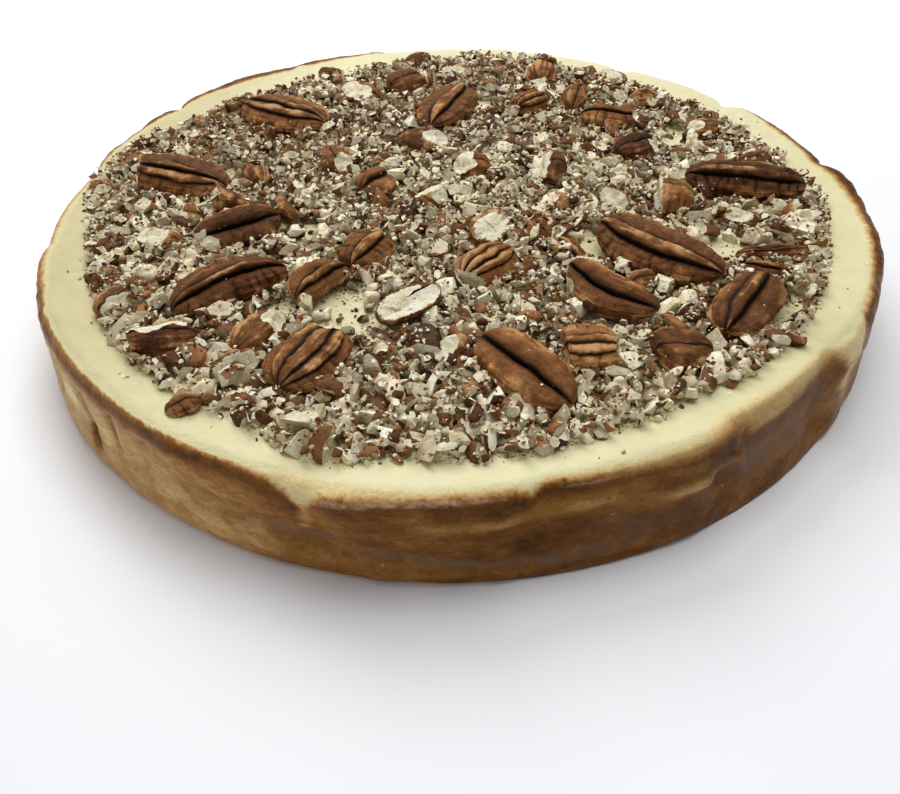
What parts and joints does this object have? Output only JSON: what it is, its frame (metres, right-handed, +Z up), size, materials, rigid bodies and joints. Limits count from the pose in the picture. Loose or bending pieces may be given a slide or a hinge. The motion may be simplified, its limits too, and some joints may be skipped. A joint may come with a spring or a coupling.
{
  "type": "pecan cheesecake",
  "caption": "Whole round baked cheesecake with a creased golden-brown side, a raised pale lip, and a top strewn with chopped pecans and large pecan halves.",
  "frame": {"origin": "centre of the flat base, on the surface that the cake stands on", "axes": "+Z up, +Y towards the back of the cake as pictured, +X to the viewer's right"},
  "size_m": [0.243, 0.2433, 0.0356],
  "materials": {
    "baked_cheesecake": "satin",
    "pecan_skin": "satin",
    "chopped_pecan": "matte"
  },
  "bodies": {
    "root": {"cake": "baked_cheesecake", "pecan_01": "pecan_skin", "pecan_02": "pecan_skin", "pecan_03": "pecan_skin", "pecan_04": "pecan_skin", "pecan_05": "pecan_skin", "pecan_06": "pecan_skin", "pecan_07": "pecan_skin", "pecan_08": "pecan_skin", "pecan_09": "pecan_skin", "pecan_10": "pecan_skin", "pecan_11": "pecan_skin", "pecan_12": "pecan_skin", "pecan_13": "pecan_skin", "pecan_14": "pecan_skin", "pecan_15": "pecan_skin", "pecan_16": "pecan_skin", "pecan_17": "pecan_skin", "pecan_18": "pecan_skin", "pecan_19": "pecan_skin", "pecan_20": "pecan_skin", "pecan_21": "pecan_skin", "pecan_22": "pecan_skin", "pecan_23": "pecan_skin", "pecan_24": "pecan_skin", "pecan_25": "pecan_skin", "pecan_26": "pecan_skin", "pecan_27": "pecan_skin", "pecan_28": "pecan_skin", "pecan_29": "pecan_skin", "pecan_30": "pecan_skin", "pecan_31": "pecan_skin", "pecan_32": "pecan_skin", "pecan_33": "pecan_skin", "pecan_34": "pecan_skin", "pecan_35": "pecan_skin", "pecan_36": "pecan_skin", "pecan_37": "chopped_pecan", "pecan_38": "chopped_pecan", "pecan_39": "chopped_pecan", "pecan_40": "chopped_pecan", "pecan_41": "chopped_pecan", "pecan_42": "chopped_pecan", "pecan_43": "chopped_pecan", "pecan_44": "chopped_pecan"}
  },
  "joints": []
}
